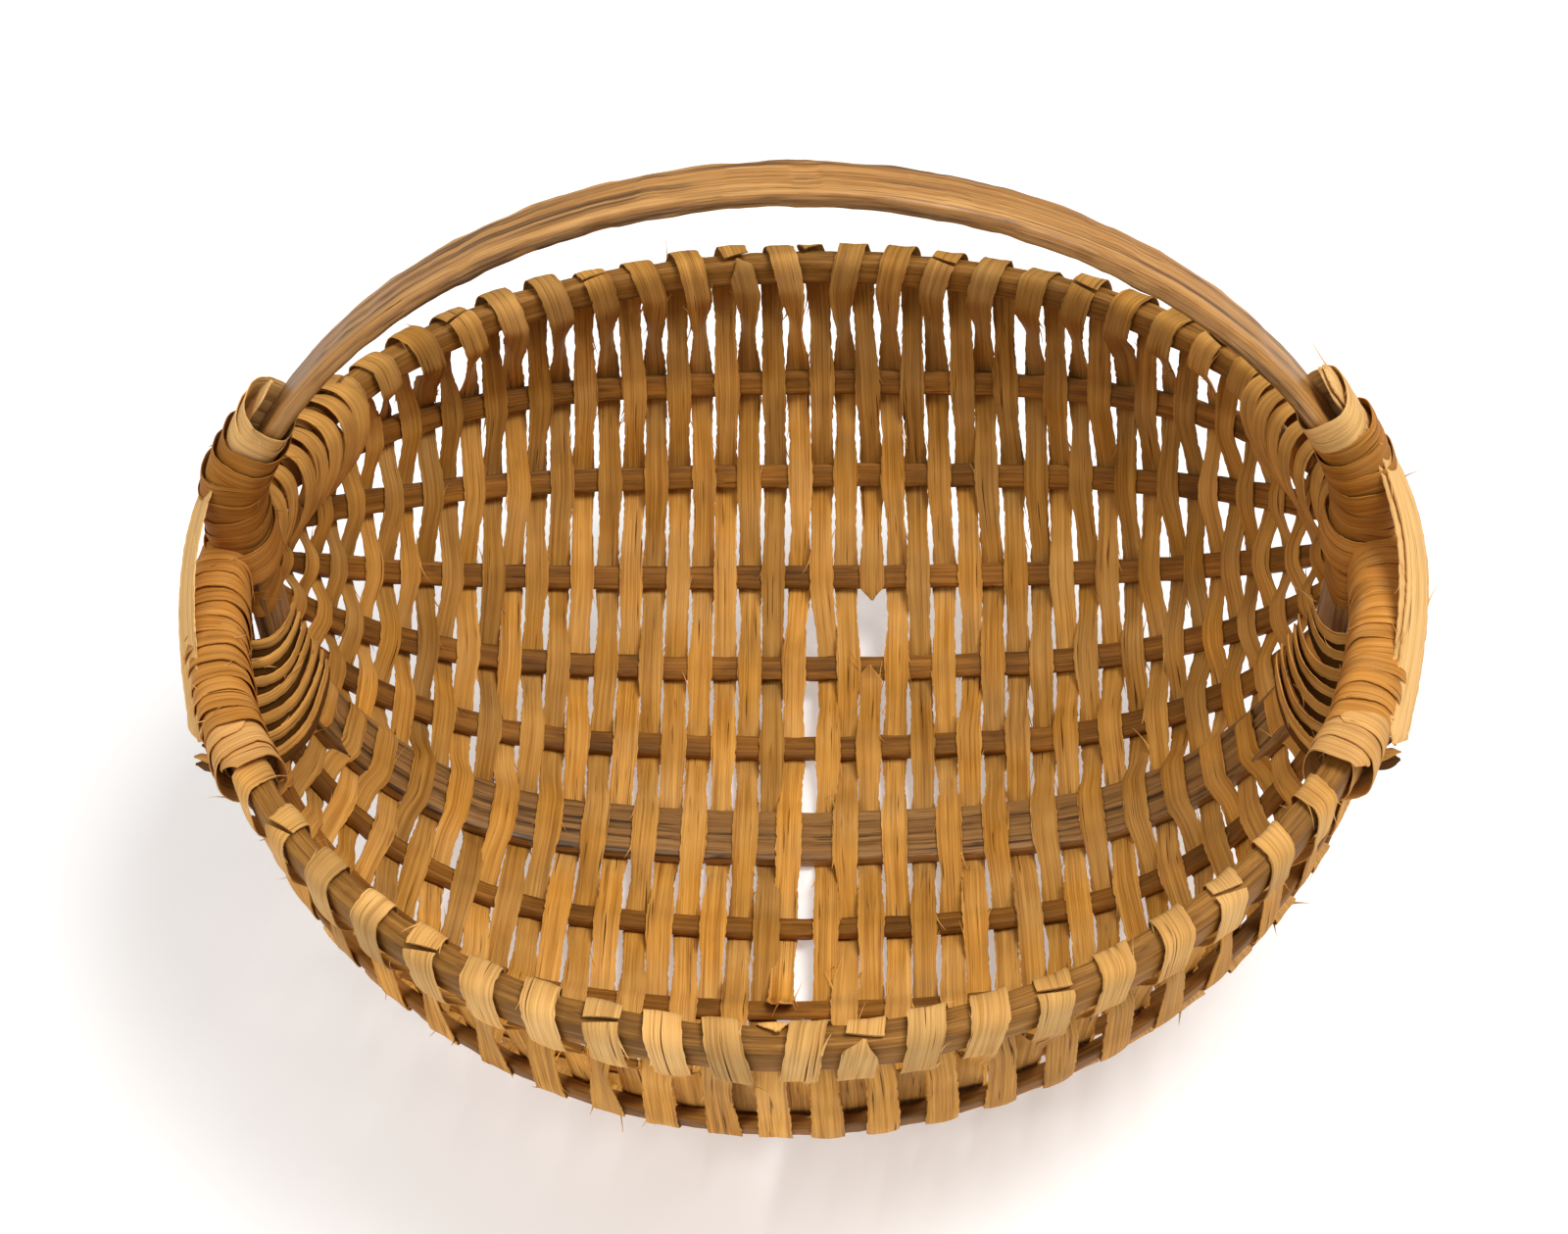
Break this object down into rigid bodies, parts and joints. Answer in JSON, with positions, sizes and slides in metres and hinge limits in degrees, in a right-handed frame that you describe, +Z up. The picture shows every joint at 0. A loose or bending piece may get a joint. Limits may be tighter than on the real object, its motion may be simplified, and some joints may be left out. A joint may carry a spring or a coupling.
{
  "type": "winnowing basket",
  "caption": "Round open rib basket of woven wood splints on whittled ribs, with a rim hoop and a fixed bow handle crossing it, for winnowing or carrying grain",
  "frame": {"origin": "on the floor under the middle of the basket's overall box", "axes": "+X along the line between the two ears, +Y away from the side seen nearest, +Z up"},
  "size_m": [0.4432, 0.4099, 0.3216],
  "materials": {
    "rim_wood": "worn, bare",
    "hoop_wood": "hand-polished, stained with age",
    "rib_wood": "bare, darkened",
    "splint_wood": "bare, fibrous",
    "lashing_wood": "bare, fibrous",
    "strap_wood": "bare, pale"
  },
  "bodies": {
    "root": {"rim_hoop": "rim_wood", "handle_hoop": "hoop_wood", "rib_back_1": "rib_wood", "rib_back_2": "rib_wood", "rib_back_3": "rib_wood", "rib_back_4": "rib_wood", "rib_back_5": "rib_wood", "rib_front_1": "rib_wood", "rib_front_2": "rib_wood", "rib_front_3": "rib_wood", "rib_front_4": "rib_wood", "rib_front_5": "rib_wood", "splint_left_1": "splint_wood", "splint_left_2": "splint_wood", "splint_left_3": "splint_wood", "splint_left_4": "splint_wood", "splint_left_5": "splint_wood", "splint_left_6": "splint_wood", "splint_left_7": "splint_wood", "splint_left_8": "splint_wood", "splint_left_9": "splint_wood", "splint_right_1": "splint_wood", "splint_right_2": "splint_wood", "splint_right_3": "splint_wood", "splint_right_4": "splint_wood", "splint_right_5": "splint_wood", "splint_right_6": "splint_wood", "splint_right_7": "splint_wood", "splint_right_8": "splint_wood", "splint_right_9": "splint_wood", "ear_lashing_left": "lashing_wood", "ear_lashing_right": "lashing_wood", "handle_binding_left": "strap_wood", "handle_binding_right": "strap_wood", "side_strap_left": "strap_wood", "side_strap_right": "strap_wood"}
  },
  "joints": []
}
